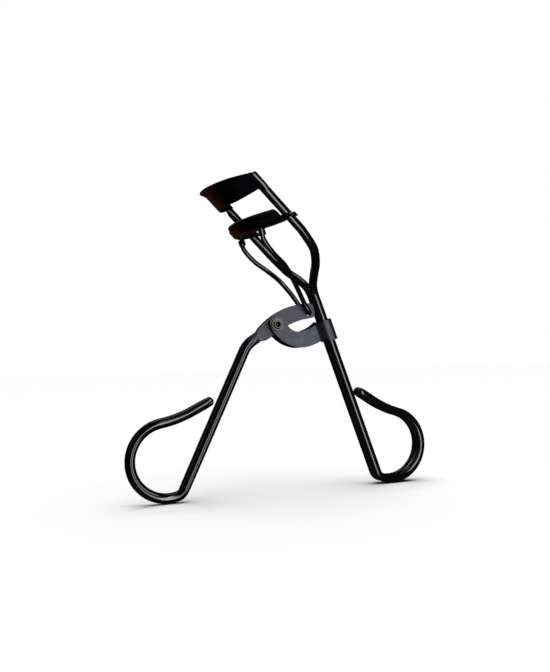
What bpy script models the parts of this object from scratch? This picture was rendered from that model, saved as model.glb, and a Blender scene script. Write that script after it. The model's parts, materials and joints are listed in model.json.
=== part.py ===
"""Eyelash curler: a bent wire frame, a sliding jaw with a soft pad, and a hinged handle that drives it.

X runs from the moving handle to the fixed one, Y is the width of the lash plate, Z is up.
The tool stands on its two finger loops, with the origin under the middle of its bounding box.
The guide rods lean in the XZ plane. HEAD is a skewed frame on them: x bulges out from the rods,
y is the width, and z runs up along the rods. Its xy plane is tilted, as the plate's edges are.
"""

from math import atan2, cos, pi, radians, sin

import bmesh
import bpy
from mathutils import Matrix, Vector

MM = 0.001
FINE = 1                    # multiplies the steps of every curved surface

# Clearances
GAP = 0.3 * MM              # between pieces that move on each other or lie side by side
CONTACT = 0.15 * MM         # between pieces that are welded, pressed or crimped together

# Frame wire
WIRE_R = 1.4 * MM
ROD_Y = 17.0 * MM           # half the distance between the guide rods
PAIR_Y = 1.45 * MM          # half the distance between the doubled wires of the fixed handle
ROD_LEAN = radians(44.4)    # guide rods, from straight down towards +X
ROD_POINT = Vector((-4.03, 0.0, 87.29)) * MM
ROD_TOP = 16.0 * MM         # from ROD_POINT up to the rods' ends
ROD_ELBOW = 6.6 * MM        # from ROD_POINT down to where the rods begin to draw together
FLAT_FROM = 10.0 * MM       # the rods are forged flat above this
FLAT_THICKNESS = 0.74       # of the round wire's diameter
FLAT_SHIFT = 0.32 * MM      # and its middle is set inwards by this

# Fixed handle and finger loops
FIXED_LEAN = radians(19.5)
FIXED_POINT = Vector((15.7, 0.0, 52.3)) * MM     # the handle's centre line passes here, inside the sleeve
LOOP_BEND_R, LOOP_BEND = 3.4 * MM, radians(51.0)
LOOP_R, LOOP_TURN = 11.5 * MM, radians(183.5)
LOOP_BACK_R, LOOP_BACK = 36.0 * MM, radians(16.5)
LOOP_END = 4.8 * MM

# Moving handle
HANDLE_R = 1.68 * MM
MOVING_LEAN = radians(25.9)
ROUNDED_END = 2.8 * MM      # past the loop's last bend
PIVOT = Vector((-2.54, 0.0, 54.32)) * MM
NECK_POINT = Vector((-4.95, 0.0, 52.75)) * MM
NECK_LEAN = radians(57.0)
NECK_LENGTH = 6.6 * MM
NECK_BEND_R = 8.0 * MM
LEVER_T = 2.2 * MM
WIRE_HOLE = Vector((9.26, 0.0, 58.3)) * MM         # centre of the push wire's hole in the lever
WIRE_HOLE_R = 1.15 * MM

# Bracket
SHEET = 0.8 * MM
SIDE_PLAY = 0.7 * MM        # between the lever and a cheek
CHEEK_Y = LEVER_T / 2 + SIDE_PLAY + SHEET / 2     # middle of a cheek's sheet
SLEEVE_LENGTH = 7.0 * MM
JOGGLE_FROM, JOGGLE_TO = -4.2 * MM, -1.0 * MM     # across the handle, a cheek's step out to the sleeve
RIVET_R = 1.1 * MM
RIVET_HEAD_R = 2.1 * MM

# Head: lash plate, jaw and pad
SKEW = 0.6                  # how far the edges rise along the rods for each unit of bulge
ARC_R = 17.85 * MM          # middle of the plate's sheet, and the jaw's centre line
ARC_X = -9.97 * MM          # centre of the arc
PLATE_T = 0.7 * MM
PLATE_BOTTOM, PLATE_TOP = 9.2 * MM, 16.8 * MM
PLATE_CROWN = 0.15 * MM     # extra height in the middle of the top edge
CORNER_RISE, CORNER_FROM = 2.2 * MM, radians(24.0)     # the bottom edge rises towards the rods
LIP_HEIGHT, LIP_FLARE = 1.8 * MM, 0.8 * MM
PLATE_ANGLE = radians(60.0)
JAW_FLOOR = -2.3 * MM       # underside of the jaw
JAW_RIM = 0.5 * MM
JAW_SHEET = 0.6 * MM
JAW_OUT, JAW_IN = 2.7 * MM, -2.2 * MM
JAW_ANGLE, EAR_ANGLE = radians(52.5), radians(59.0)
EAR_TOP, EAR_INNER = -0.3 * MM, -0.6 * MM
EYELET_BOTTOM, EYELET_TOP = -1.5 * MM, -0.15 * MM
END_RISE, END_FROM = 0.7 * MM, radians(30.0)         # the jaw's floor rises towards the rods
EYELET_R = 2.2 * MM
PAD_TOP = 2.95 * MM
PAD_ANGLE = radians(52.0)

# Push wire
PUSH_R = 0.8 * MM
TENON_R, FORMED_HEAD_R = 0.5 * MM, 0.7 * MM
PUSH_SEAT = Vector((6.7, 9.95)) * MM               # where it passes the jaw's floor, in HEAD x and y
PUSH_ROUTE = ((-9.0, 9.7, 80.2), (-5.7, 9.0, 76.3), (-1.5, 7.7, 72.9), (1.8, 5.4, 69.4), (5.1, 3.4, 64.7),
              (7.45, 2.3, 60.8))
COLLAR_R, COLLAR_LENGTH = 1.15 * MM, 1.9 * MM

DOWN_ROD = Vector((sin(ROD_LEAN), 0.0, -cos(ROD_LEAN)))
BULGE = Vector((-cos(ROD_LEAN), 0.0, -sin(ROD_LEAN)))
WIDTH = Vector((0.0, 1.0, 0.0))
HEAD = Matrix.Translation(ROD_POINT) @ Matrix(
    (BULGE - SKEW * DOWN_ROD, WIDTH, -DOWN_ROD)).transposed().to_4x4()

BLACK_LACQUER = (0.006, 0.006, 0.008)
BLUE_BLACK = (0.010, 0.012, 0.018)
PAD_BLACK = (0.014, 0.013, 0.013)


# ---------------------------------------------------------------- helpers

def clear_scene():
    for item in list(bpy.data.objects):
        bpy.data.objects.remove(item, do_unlink=True)


def new_collection(name):
    group = bpy.data.collections.new(name)
    bpy.context.scene.collection.children.link(group)
    return group


def material(name, colour, roughness, metallic=0.0):
    mat = bpy.data.materials.new(name)
    mat.use_nodes = True
    shader = mat.node_tree.nodes["Principled BSDF"]
    shader.inputs["Base Color"].default_value = (*colour, 1.0)
    shader.inputs["Roughness"].default_value = roughness
    shader.inputs["Metallic"].default_value = metallic
    return mat


def add_object(name, data, group, mat=None):
    item = bpy.data.objects.new(name, data)
    group.objects.link(item)
    if mat:
        data.materials.append(mat)
    return item


def mesh_object(name, bm, group, mat=None, smooth=True):
    """Turn a bmesh into an object, with outward normals and smooth round faces."""
    bmesh.ops.recalc_face_normals(bm, faces=bm.faces)
    mesh = bpy.data.meshes.new(name)
    bm.to_mesh(mesh)
    bm.free()
    if smooth:
        mesh.shade_smooth()
        mesh.set_sharp_from_angle(angle=radians(35))
    return add_object(name, mesh, group, mat)


def wire(name, points, radius, group, radii=None, sides=4):
    """A round wire along 3-D points, as a curve with filled caps."""
    curve = bpy.data.curves.new(name, "CURVE")
    curve.dimensions = "3D"
    curve.bevel_depth = radius
    curve.bevel_resolution = sides * FINE
    curve.use_fill_caps = True
    spline = curve.splines.new("POLY")
    spline.points.add(len(points) - 1)
    for index, (target, point) in enumerate(zip(spline.points, points)):
        target.co = (*point, 1.0)
        target.radius = radii[index] if radii else 1.0
    return add_object(name, curve, group)


def outline_solid(name, loops, thickness, group):
    """A flat plate in the XZ plane, from an outer loop and any holes, centred on Y = 0."""
    curve = bpy.data.curves.new(name, "CURVE")
    curve.dimensions = "2D"
    curve.fill_mode = "BOTH"
    curve.extrude = thickness / 2
    for loop in loops:
        spline = curve.splines.new("POLY")
        spline.points.add(len(loop) - 1)
        for target, (x, z) in zip(spline.points, loop):
            target.co = (x, z, 0.0, 1.0)
        spline.use_cyclic_u = True
    item = add_object(name, curve, group)
    item.rotation_euler = (pi / 2, 0.0, 0.0)
    return item


def as_mesh(item, group, mat=None):
    """Replace a curve with its welded mesh, which a Boolean can use."""
    bpy.context.view_layer.update()
    graph = bpy.context.evaluated_depsgraph_get()
    mesh = bpy.data.meshes.new_from_object(item.evaluated_get(graph))
    mesh.transform(item.matrix_world)
    bm = bmesh.new()
    bm.from_mesh(mesh)
    bmesh.ops.remove_doubles(bm, verts=bm.verts, dist=0.002 * MM)
    name = item.name
    curve = item.data
    bpy.data.objects.remove(item, do_unlink=True)
    bpy.data.curves.remove(curve)
    bpy.data.meshes.remove(mesh)
    return mesh_object(name, bm, group, mat)


def combine(item, tool, operation, cutters):
    """Add a Boolean of `tool` to `item`, and keep the tool out of sight among the cutters."""
    step = item.modifiers.new(operation.title(), "BOOLEAN")
    step.operation = operation
    step.solver = "EXACT"
    step.object = tool
    for group in list(tool.users_collection):
        group.objects.unlink(tool)
    cutters.objects.link(tool)
    tool.hide_render = True
    tool.display_type = "WIRE"


def cylinder(name, radius, length, centre, axis, group, sides=32):
    bm = bmesh.new()
    bmesh.ops.create_cone(bm, cap_ends=True, segments=sides * FINE, radius1=radius, radius2=radius,
                          depth=length)
    turn = Vector((0.0, 0.0, 1.0)).rotation_difference(axis).to_matrix().to_4x4()
    bmesh.ops.transform(bm, matrix=Matrix.Translation(centre) @ turn, verts=bm.verts)
    return mesh_object(name, bm, group)


def turned(name, profile, centre, axis, group, mat, steps=32):
    """Spin a profile of (radius, height) pairs, given from top to bottom, round an axis."""
    bm = bmesh.new()
    verts = [bm.verts.new((r, 0.0, h)) for r, h in profile]
    for first, second in zip(verts, verts[1:]):
        bm.edges.new((first, second))
    mesh = bpy.data.meshes.new(name)
    bm.to_mesh(mesh)
    bm.free()
    item = add_object(name, mesh, group, mat)
    screw = item.modifiers.new("Screw", "SCREW")
    screw.axis = "Z"
    screw.steps = screw.render_steps = steps * FINE
    screw.use_merge_vertices = True
    screw.merge_threshold = 0.001 * MM
    screw.use_smooth_shade = True
    item.location = centre
    item.rotation_mode = "QUATERNION"
    item.rotation_quaternion = Vector((0.0, 0.0, 1.0)).rotation_difference(axis)
    return item


def smooth_route(knots, steps):
    """Points of a smooth curve through the knots (Catmull-Rom), with `steps` points a span."""
    ends = [2 * knots[0] - knots[1], *knots, 2 * knots[-1] - knots[-2]]
    route = []
    for a, b, c, d in zip(ends, ends[1:], ends[2:], ends[3:]):
        for step in range(steps * FINE):
            t = step / (steps * FINE)
            route.append(0.5 * (2 * b + (c - a) * t + (2 * a - 5 * b + 4 * c - d) * t ** 2
                                + (3 * b - a - 3 * c + d) * t ** 3))
    return [*route, knots[-1]]


class Pen:
    """Draws a bent wire's centre line in the XZ plane, from a start point and a lean from straight down."""

    def __init__(self, start, lean):
        self.points = [start.copy()]
        self.lean = lean

    def heading(self):
        return Vector((sin(self.lean), 0.0, -cos(self.lean)))

    def line(self, length):
        self.points.append(self.points[-1] + self.heading() * length)

    def arc(self, radius, turn, steps):
        """Turn by an angle; a positive one leans further towards +X."""
        side = 1.0 if turn > 0.0 else -1.0
        centre = self.points[-1] + radius * side * Vector((cos(self.lean), 0.0, sin(self.lean)))
        first, steps = self.lean, steps * FINE
        for step in range(1, steps + 1):
            self.lean = first + turn * step / steps
            out = Vector((cos(self.lean), 0.0, sin(self.lean)))
            self.points.append(centre - radius * side * out)


def finger_loop(pen, side):
    """The teardrop loop at the end of a handle, bending towards `side` along X."""
    pen.arc(LOOP_BEND_R, side * LOOP_BEND, 6)
    pen.arc(LOOP_R, side * LOOP_TURN, 20)
    pen.arc(LOOP_BACK_R, -side * LOOP_BACK, 4)
    pen.line(LOOP_END)


def leg_length(start, lean, side, radius):
    """How far the straight handle runs, for its loop to stand on the ground."""
    pen = Pen(start, lean)
    finger_loop(pen, side)
    lowest = min(point.z for point in pen.points)
    return (lowest - radius) / cos(lean)


def lying_on_y(points, y):
    return [Vector((point.x, y, point.z)) for point in points]


# ---------------------------------------------------------------- frame

def frame_wire_route():
    """Centre line of the near half: guide rod, neck, fixed handle and loop, up to the loop's tip."""
    rod_marks = (ROD_TOP, ROD_TOP - 0.5 * MM, FLAT_FROM + 1.2 * MM, FLAT_FROM, FLAT_FROM - 0.8 * MM, 0.0,
                 -ROD_ELBOW)
    rod = [ROD_POINT - mark * DOWN_ROD - ROD_Y * WIDTH for mark in rod_marks]
    neck = [Vector(knot) * MM for knot in
            ((3.4, -16.3, 79.3), (5.5, -15.1, 76.7), (7.5, -11.6, 73.2), (9.0, -6.9, 70.4),
             (10.3, -2.9, 67.4))]
    down = Vector((sin(FIXED_LEAN), 0.0, -cos(FIXED_LEAN)))
    joined = [FIXED_POINT - down * above - PAIR_Y * WIDTH for above in (13.0 * MM, 10.0 * MM)]
    draw_in = smooth_route([rod[-1], *neck, *joined], 4)
    leg = leg_length(FIXED_POINT, FIXED_LEAN, 1, WIRE_R)
    pen = Pen(FIXED_POINT, FIXED_LEAN)
    pen.line(leg)
    finger_loop(pen, 1)
    tip_heading = pen.heading()
    return rod[:-1] + draw_in + lying_on_y(pen.points[1:], -PAIR_Y), tip_heading


def flatten_rod_ends(item):
    """Forge the tops of the guide rods flat against the plate's ends."""
    face = plate_end_normal()
    for vertex in item.data.vertices:
        side = 1.0 if vertex.co.y > 0.0 else -1.0
        axis_point = ROD_POINT + side * ROD_Y * WIDTH
        along = (vertex.co - axis_point).dot(-DOWN_ROD)
        if along < FLAT_FROM - 0.1 * MM:
            continue
        normal = Vector((face.x, side * face.y, face.z))
        off = vertex.co - (axis_point - along * DOWN_ROD)
        in_face = off - normal * off.dot(normal)
        amount = min(1.0, (along - FLAT_FROM + 0.1 * MM) / (1.0 * MM))
        thin = 1.0 - amount * (1.0 - FLAT_THICKNESS)
        wide = 1.0 + amount * 0.05
        depth = off.dot(normal) * thin - amount * FLAT_SHIFT
        vertex.co = axis_point - along * DOWN_ROD + normal * depth + in_face * wide


def plate_end_normal():
    """Outward normal of the plate's sheet at its +Y end, square to the rods."""
    angle = PLATE_ANGLE
    return (cos(angle) * BULGE + sin(angle) * WIDTH).normalized()


def build_frame_wire(group, mat):
    near, tip_heading = frame_wire_route()
    tip = near[-1] + PAIR_Y * WIDTH
    turn_steps = 8 * FINE
    hairpin = []
    for step in range(1, turn_steps):
        angle = pi * step / turn_steps
        hairpin.append(tip - cos(angle) * PAIR_Y * WIDTH + sin(angle) * PAIR_Y * tip_heading)
    far = [Vector((point.x, -point.y, point.z)) for point in reversed(near)]
    route = near + hairpin + far
    radii = [1.0] * len(route)
    radii[0] = radii[-1] = 0.72
    item = as_mesh(wire("frame_wire", route, WIRE_R, group, radii), group, mat)
    flatten_rod_ends(item)
    return item


# ---------------------------------------------------------------- head

def spun(name, profile, start, end, steps, group, mat=None):
    """Sweep a closed profile of (offset from the arc, height) pairs along the head's arc, then skew it."""
    bm = bmesh.new()
    verts = [bm.verts.new((ARC_R + offset, 0.0, height)) for offset, height in profile]
    edges = [bm.edges.new((verts[i - 1], verts[i])) for i in range(len(verts))]
    bmesh.ops.rotate(bm, verts=verts, cent=(0, 0, 0), matrix=Matrix.Rotation(start, 3, "Z"))
    bmesh.ops.spin(bm, geom=verts + edges, cent=(0, 0, 0), axis=(0, 0, 1), angle=end - start,
                   steps=steps * FINE)
    bmesh.ops.holes_fill(bm, edges=bm.edges, sides=0)
    bmesh.ops.transform(bm, matrix=HEAD @ Matrix.Translation((ARC_X, 0, 0)), verts=bm.verts)
    return mesh_object(name, bm, group, mat)


def build_upper_plate(group, mat):
    """The curved lash plate: a sheet whose top edge is crowned and rolls outwards, away from the rods."""
    rows = 8 * FINE
    half = PLATE_T / 2
    heights = [PLATE_BOTTOM + (PLATE_TOP - PLATE_BOTTOM) * row / rows for row in range(rows + 1)]
    profile = [(half, height) for height in heights] + [(0.0, PLATE_TOP + 0.15 * MM)]
    profile += [(-half, height) for height in reversed(heights)] + [(0.0, PLATE_BOTTOM - 0.15 * MM)]
    plate = spun("upper_plate", profile, -PLATE_ANGLE, PLATE_ANGLE, 40, group, mat)
    to_head = HEAD.inverted()
    for vertex in plate.data.vertices:
        local = to_head @ vertex.co
        bulge = max(0.0, local.x / (ARC_R + ARC_X))
        reach = (local.z - PLATE_BOTTOM) / (PLATE_TOP - PLATE_BOTTOM)
        lip = max(0.0, (local.z - PLATE_TOP + LIP_HEIGHT) / LIP_HEIGHT) ** 2
        outward = Vector((local.x - ARC_X, local.y, 0.0)).normalized()
        local += outward * LIP_FLARE * lip * min(1.0, 2.0 * bulge)
        local.z += PLATE_CROWN * bulge * reach
        corner = (abs(atan2(local.y, local.x - ARC_X)) - CORNER_FROM) / (PLATE_ANGLE - CORNER_FROM)
        local.z += CORNER_RISE * max(0.0, corner) ** 1.5 * (1.0 - reach)
        vertex.co = HEAD @ local
    return plate


def rod_cylinder(name, radius, bottom, top, side, group):
    """A cylinder round a guide rod, its ends skewed like the head."""
    bm = bmesh.new()
    bmesh.ops.create_cone(bm, cap_ends=True, segments=32 * FINE, radius1=radius, radius2=radius,
                          depth=top - bottom)
    place = Matrix.Translation((0.0, side * ROD_Y, (top + bottom) / 2))
    bmesh.ops.transform(bm, matrix=HEAD @ place, verts=bm.verts)
    return mesh_object(name, bm, group)


def build_lower_jaw(group, cutters, mat):
    floor, rim, t = JAW_FLOOR, JAW_RIM, JAW_SHEET
    channel = ((JAW_OUT, rim), (JAW_OUT, floor + 0.5 * MM), (JAW_OUT - 0.5 * MM, floor),
               (JAW_IN + 0.5 * MM, floor), (JAW_IN, floor + 0.5 * MM), (JAW_IN, rim),
               (JAW_IN + t, rim), (JAW_IN + t, floor + t), (JAW_OUT - t, floor + t), (JAW_OUT - t, rim))
    jaw = spun("lower_jaw", channel, -EAR_ANGLE, EAR_ANGLE, 38, group, mat)
    to_head = HEAD.inverted()
    for vertex in jaw.data.vertices:
        local = to_head @ vertex.co
        end = max(0.0, abs(atan2(local.y, local.x - ARC_X)) - END_FROM) / (EAR_ANGLE - END_FROM)
        local.z += END_RISE * end ** 2 * (rim - local.z) / (rim - floor)
        vertex.co = HEAD @ local
    far_out, beyond = 6 * MM, EAR_ANGLE + radians(10)
    above_ear = ((far_out, EAR_TOP), (far_out, far_out), (-far_out, far_out), (-far_out, EAR_TOP))
    inside_ear = ((EAR_INNER, -far_out), (EAR_INNER, far_out), (-far_out, far_out), (-far_out, -far_out))
    for label, side in (("near", -1), ("far", 1)):
        start, end = sorted((side * JAW_ANGLE, side * beyond))
        for shape, trim in (("above", above_ear), ("inside", inside_ear)):
            cut = spun(f"ear_{shape}_{label}", trim, start, end, 4, group)
            combine(jaw, cut, "DIFFERENCE", cutters)
        eyelet = rod_cylinder(f"eyelet_{label}", EYELET_R, EYELET_BOTTOM, EYELET_TOP, side, group)
        combine(jaw, eyelet, "UNION", cutters)
    for label, side in (("near", -1), ("far", 1)):
        bore = rod_cylinder(f"rod_bore_{label}", WIRE_R + GAP, floor - 3 * MM, rim + 3 * MM, side, group)
        combine(jaw, bore, "DIFFERENCE", cutters)
    for label, side in (("near", -1), ("far", 1)):
        seat, heading = push_seat(side, floor + t / 2), push_top_heading(side)
        hole = cylinder(f"seat_hole_{label}", TENON_R + 0.2 * MM, 3 * t, seat, heading, group, 20)
        combine(jaw, hole, "DIFFERENCE", cutters)
    return jaw


def build_pad(group, mat):
    """The soft strip: its foot fills the channel above the push wire's heads, its crown stands proud."""
    foot_in, foot_out = JAW_IN + JAW_SHEET + 0.2 * MM, JAW_OUT - JAW_SHEET - 0.2 * MM
    foot = JAW_FLOOR + JAW_SHEET + 0.75 * MM
    shoulder = JAW_RIM + 0.3 * MM
    centre = (foot_in + foot_out) / 2
    crown_half = (foot_out - foot_in) / 2 + 0.35 * MM
    crown_base = PAD_TOP - 1.5 * MM
    profile = [(foot_out, foot), (foot_out, shoulder), (centre + crown_half, shoulder)]
    crown_steps = 8 * FINE
    for step in range(crown_steps + 1):
        angle = pi * step / crown_steps
        profile.append((centre + crown_half * cos(angle), crown_base + (PAD_TOP - crown_base) * sin(angle)))
    profile += [(centre - crown_half, shoulder), (foot_in, shoulder), (foot_in, foot)]
    profile.reverse()
    return spun("pad", profile, -PAD_ANGLE, PAD_ANGLE, 36, group, mat)


# ---------------------------------------------------------------- push wire

def push_seat(side, height):
    """Where a push wire end passes the jaw, at a height along the rods."""
    return HEAD @ Vector((PUSH_SEAT.x, side * PUSH_SEAT.y, height))


def push_top_heading(side):
    """Direction of the push wire below the jaw, downwards."""
    first = Vector(PUSH_ROUTE[0]) * MM
    first.y *= side
    return (first - push_seat(side, JAW_FLOOR)).normalized()


def push_wire_half():
    """Near half of the push wire, from its formed head on the jaw's floor to the lever's hole."""
    heading = push_top_heading(-1)
    floor_low = push_seat(-1, JAW_FLOOR)
    floor_high = floor_low - heading * JAW_SHEET / heading.dot(DOWN_ROD)
    head_foot = floor_high - heading * CONTACT
    shoulder = floor_low + heading * 0.2 * MM
    points = [head_foot - heading * 0.3 * MM, head_foot - heading * 0.25 * MM, head_foot,
              head_foot + heading * 0.02 * MM, shoulder, shoulder + heading * 0.05 * MM]
    head = FORMED_HEAD_R / PUSH_R
    radii = [0.6 * head, head, head, TENON_R / PUSH_R, TENON_R / PUSH_R, 1.0]
    knots = [Vector((x, -y, z)) * MM for x, y, z in PUSH_ROUTE]
    bend_r = 1.15 * MM
    fall = (WIRE_HOLE - knots[-1])
    fall.y = 0.0
    fall.normalize()
    side_y = LEVER_T / 2 + PUSH_R + GAP
    bend_start = WIRE_HOLE - fall * bend_r - WIDTH * side_y
    route = smooth_route([shoulder + heading * 0.4 * MM, *knots, bend_start], 3)
    bend = []
    bend_steps = 6 * FINE
    for step in range(1, bend_steps + 1):
        angle = pi / 2 * step / bend_steps
        bend.append(bend_start + fall * bend_r * sin(angle) + WIDTH * bend_r * (1 - cos(angle)))
    points += route + bend
    radii += [1.0] * (len(route) + len(bend))
    return points, radii


def build_push_wire(group, mat):
    near, radii = push_wire_half()
    far = [Vector((point.x, -point.y, point.z)) for point in reversed(near)]
    item = wire("push_wire", near + far, PUSH_R, group, radii + radii[::-1])
    return as_mesh(item, group, mat)


def build_collar(name, side, group, mat):
    """A bead crimped on the push wire, just under the jaw."""
    bore = PUSH_R + CONTACT
    half = COLLAR_LENGTH / 2
    profile = [(bore, half)]
    steps = 6 * FINE
    for step in range(steps + 1):
        angle = pi * step / steps
        bulge = bore + 0.12 * MM + (COLLAR_R - bore - 0.12 * MM) * sin(angle)
        profile.append((bulge, half * cos(angle)))
    profile += [(bore, -half), (bore, half)]
    heading = push_top_heading(side)
    centre = push_seat(side, JAW_FLOOR) + heading * (GAP + half + 0.05 * MM)
    return turned(name, profile, centre, -heading, group, mat, 24)


# ---------------------------------------------------------------- bracket, rivet and moving handle

def bracket_outline():
    """The bracket seen square on: two C-shaped cheeks round the pivot, and the sleeve."""
    c_shape = [Vector((x, 0.0, z)) * MM for x, z in
               ((14.6, 49.6), (9.6, 47.4), (5.2, 46.75), (1.0, 47.9), (-2.2, 50.1), (-4.5, 52.9),
                (-5.0, 55.3), (-3.2, 56.9), (-1.0, 56.5), (0.5, 54.7), (2.5, 52.6), (5.1, 51.9),
                (8.3, 52.7), (11.2, 54.2), (13.4, 55.7))]
    run = [(point.x, point.z) for point in smooth_route(c_shape, 4)]
    down = Vector((sin(FIXED_LEAN), 0.0, -cos(FIXED_LEAN)))
    across = Vector((cos(FIXED_LEAN), 0.0, sin(FIXED_LEAN)))
    half = SLEEVE_LENGTH / 2
    corners = [FIXED_POINT - down * half - across * 2.0 * MM, FIXED_POINT - down * half + across * 4.0 * MM,
               FIXED_POINT + down * half + across * 4.0 * MM, FIXED_POINT + down * half - across * 1.2 * MM]
    return run + [(corner.x, corner.z) for corner in corners]


def sheet_section():
    """Half of the folded sheet's middle line: (distance across the handle, y) from cheek to back."""
    wrap_y = PAIR_Y + WIRE_R + CONTACT + SHEET / 2
    wrap_x = WIRE_R + CONTACT + SHEET / 2
    corner = wrap_x - 0.15 * MM
    points = [(-26.0 * MM, CHEEK_Y), (JOGGLE_FROM, CHEEK_Y)]
    joggle_steps = 6 * FINE
    for step in range(1, joggle_steps + 1):
        t = step / joggle_steps
        ease = t * t * (3 - 2 * t)
        points.append((JOGGLE_FROM + (JOGGLE_TO - JOGGLE_FROM) * t, CHEEK_Y + (wrap_y - CHEEK_Y) * ease))
    fold_steps = 5 * FINE
    for step in range(fold_steps + 1):
        angle = pi / 2 * step / fold_steps
        points.append((wrap_x - corner + corner * sin(angle), wrap_y - corner + corner * cos(angle)))
    return points


def build_bracket(group, cutters, mat):
    """A sheet folded round the doubled wire, trimmed to the bracket's outline."""
    half = sheet_section()
    section = [(x, -y) for x, y in half] + [(x, y) for x, y in reversed(half)]
    down = Vector((sin(FIXED_LEAN), 0.0, -cos(FIXED_LEAN)))
    across = Vector((cos(FIXED_LEAN), 0.0, sin(FIXED_LEAN)))
    reach = 14.0 * MM
    bm = bmesh.new()
    rows = []
    for end in (-reach, reach):
        rows.append([bm.verts.new(FIXED_POINT + down * end + across * x + WIDTH * y) for x, y in section])
    for i in range(len(section) - 1):
        bm.faces.new((rows[0][i], rows[0][i + 1], rows[1][i + 1], rows[1][i]))
    mesh = bpy.data.meshes.new("bracket")
    bm.to_mesh(mesh)
    bm.free()
    bracket = add_object("bracket", mesh, group, mat)
    thick = bracket.modifiers.new("Solidify", "SOLIDIFY")
    thick.thickness = SHEET
    thick.offset = 0.0
    thick.use_even_offset = True
    outline = as_mesh(outline_solid("bracket_outline", [bracket_outline()], 12 * MM, group), group)
    combine(bracket, outline, "INTERSECT", cutters)
    hole = cylinder("rivet_hole_bracket", RIVET_R + CONTACT, 12 * MM, PIVOT, WIDTH, group)
    combine(bracket, hole, "DIFFERENCE", cutters)
    return bracket


def build_pivot_rivet(group, mat):
    """A semi-tubular rivet with a rolled head on each side."""
    seat = CHEEK_Y + SHEET / 2 + CONTACT
    top = seat + 0.5 * MM
    well, well_r = top - 1.3 * MM, 0.8 * MM
    flange = top - 0.24 * MM
    half = [(0.0, well + 0.25 * MM), (0.3 * MM, well + 0.2 * MM), (0.5 * MM, well),
            (well_r, well + 0.2 * MM), (well_r, top - 0.2 * MM), (well_r + 0.14 * MM, top),
            (1.18 * MM, top), (1.32 * MM, top - 0.2 * MM), (1.5 * MM, flange),
            (RIVET_HEAD_R - 0.15 * MM, flange), (RIVET_HEAD_R, seat + 0.12 * MM),
            (RIVET_HEAD_R - 0.06 * MM, seat), (RIVET_R, seat)]
    profile = half + [(r, -h) for r, h in reversed(half)]
    return turned("pivot_rivet", profile, PIVOT, -WIDTH, group, mat)


def lever_outline():
    """The flat lever seen square on, from the forged neck to the end with the push wire's hole."""
    edge = [Vector((x, 0.0, z)) * MM for x, z in
            ((-9.4, 50.2), (-8.7, 52.6), (-6.2, 55.2), (-3.1, 57.5), (1.2, 59.7), (5.0, 60.85), (9.0, 61.4),
             (10.7, 60.9), (11.3, 59.4), (11.3, 57.6), (10.5, 56.6), (6.4, 55.8), (1.8, 54.1),
             (-1.4, 52.0), (-4.2, 50.3), (-7.0, 49.1))]
    closed = smooth_route([*edge, edge[0]], 3)[:-1]
    return [(point.x, point.z) for point in closed]


def build_moving_handle(group, cutters, mat):
    """The moving handle: a round wire with a finger loop, forged flat into a lever past the neck."""
    pen = Pen(NECK_POINT, -NECK_LEAN)
    neck_marks = 5 * FINE
    for _ in range(neck_marks):
        pen.line(NECK_LENGTH / neck_marks)
    pen.arc(NECK_BEND_R, NECK_LEAN - MOVING_LEAN, 5)
    straight = leg_length(pen.points[-1], pen.lean, -1, HANDLE_R * 0.96)
    straight_marks = 3
    for _ in range(straight_marks):
        pen.line(straight / straight_marks)
    leg_end = len(pen.points)
    finger_loop(pen, -1)
    heading = pen.heading()
    tip = pen.points[-1]
    rounding = (ROUNDED_END - 0.75 * MM, ROUNDED_END - 0.25 * MM, ROUNDED_END)
    pen.points += [tip + heading * reach for reach in rounding]
    radii = [1.07] * (leg_end - 1) + [1.0] + [0.96] * (len(pen.points) - leg_end - 3) + [0.85, 0.55, 0.2]
    handle = as_mesh(wire("moving_handle", pen.points, HANDLE_R, group, radii), group, mat)
    forge_neck(handle)
    lever = as_mesh(outline_solid("lever_blank", [lever_outline()], LEVER_T, group), group)
    combine(handle, lever, "UNION", cutters)
    pivot_hole = cylinder("rivet_hole_lever", RIVET_R + CONTACT, 9 * MM, PIVOT, WIDTH, group)
    combine(handle, pivot_hole, "DIFFERENCE", cutters)
    wire_hole = cylinder("push_wire_hole", WIRE_HOLE_R, 9 * MM, WIRE_HOLE, WIDTH, group)
    combine(handle, wire_hole, "DIFFERENCE", cutters)
    return handle


def forge_neck(item):
    """Flatten the round wire towards the lever's thickness over the last millimetres of the neck."""
    inward = Vector((sin(NECK_LEAN), 0.0, cos(NECK_LEAN)))
    start, length = NECK_POINT - inward * NECK_LENGTH, 3.2 * MM
    thin = (LEVER_T / 2 - 0.08 * MM) / (HANDLE_R * 1.07)
    for vertex in item.data.vertices:
        if vertex.co.z < 46 * MM:
            continue
        amount = min(1.0, max(0.0, (vertex.co - start).dot(inward) / length))
        ease = amount * amount * (3 - 2 * amount)
        vertex.co.y *= 1.0 - ease * (1.0 - thin)


def main():
    clear_scene()
    group = new_collection("eyelash_curler")
    cutters = new_collection("cutters")
    lacquer = BLACK_LACQUER
    build_frame_wire(group, material("frame_lacquer", lacquer, 0.16))
    build_upper_plate(group, material("plate_lacquer", BLUE_BLACK, 0.26))
    build_lower_jaw(group, cutters, material("jaw_lacquer", BLUE_BLACK, 0.26))
    build_pad(group, material("pad_silicone", PAD_BLACK, 0.42))
    build_push_wire(group, material("push_wire_lacquer", lacquer, 0.18))
    build_collar("collar_near", -1, group, material("collar_near_lacquer", lacquer, 0.2))
    build_collar("collar_far", 1, group, material("collar_far_lacquer", lacquer, 0.2))
    build_bracket(group, cutters, material("bracket_lacquer", BLUE_BLACK, 0.3))
    build_pivot_rivet(group, material("rivet_lacquer", BLUE_BLACK, 0.22))
    build_moving_handle(group, cutters, material("handle_lacquer", lacquer, 0.16))


main()
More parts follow.
